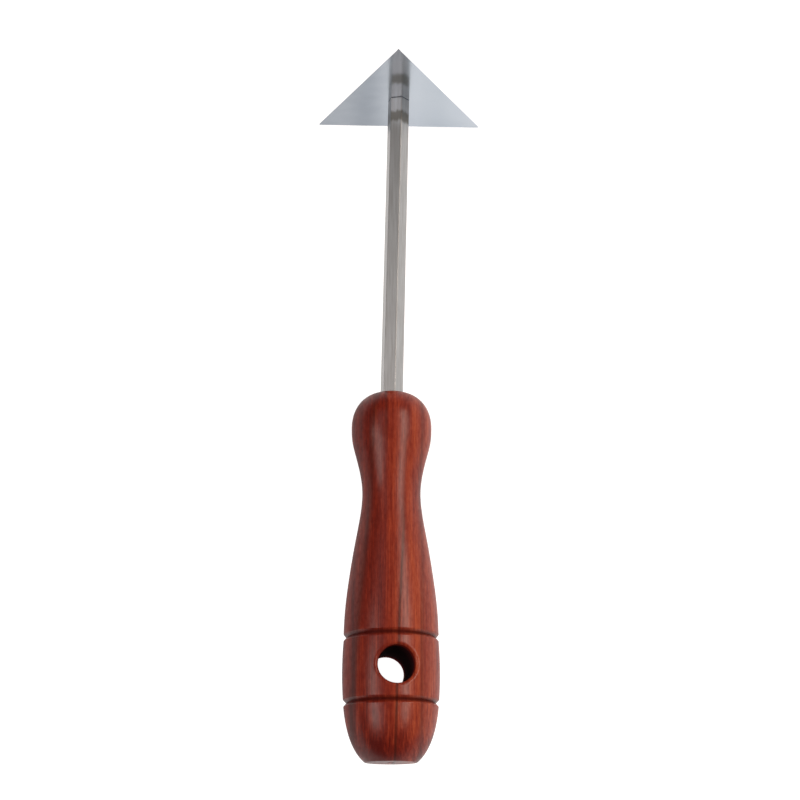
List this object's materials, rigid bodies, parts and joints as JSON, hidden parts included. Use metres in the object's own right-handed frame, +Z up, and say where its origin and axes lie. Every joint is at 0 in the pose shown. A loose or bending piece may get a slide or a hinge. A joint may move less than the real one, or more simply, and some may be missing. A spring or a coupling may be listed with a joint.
{
  "type": "triangular hand scraper",
  "caption": "Hand scraper with a flat triangular steel blade set square across a slim hexagonal bar, and a turned wooden handle with a bulb, waist, grooves and a hanging hole.",
  "frame": {"origin": "middle of the footprint, at the level of the surface the tool lies on", "axes": "+Y from the butt along the tool to the blade, +Z up towards the blade's apex, +X to the right seen from the butt"},
  "size_m": [0.0614, 0.2421, 0.0533],
  "materials": {
    "handle_wood": "red-brown hardwood, fine straight grain, satin lacquer",
    "bar_steel": "drawn stainless bar, fine lengthwise brushing",
    "blade_steel": "fine-ground stainless sheet, soft reflections",
    "weld_steel": "dressed stainless weld",
    "adhesive": "dark cured resin"
  },
  "bodies": {
    "root": {"handle": "handle_wood", "shank": "bar_steel", "blade": "blade_steel", "front_weld": "weld_steel", "tang_adhesive": "adhesive"}
  },
  "joints": []
}
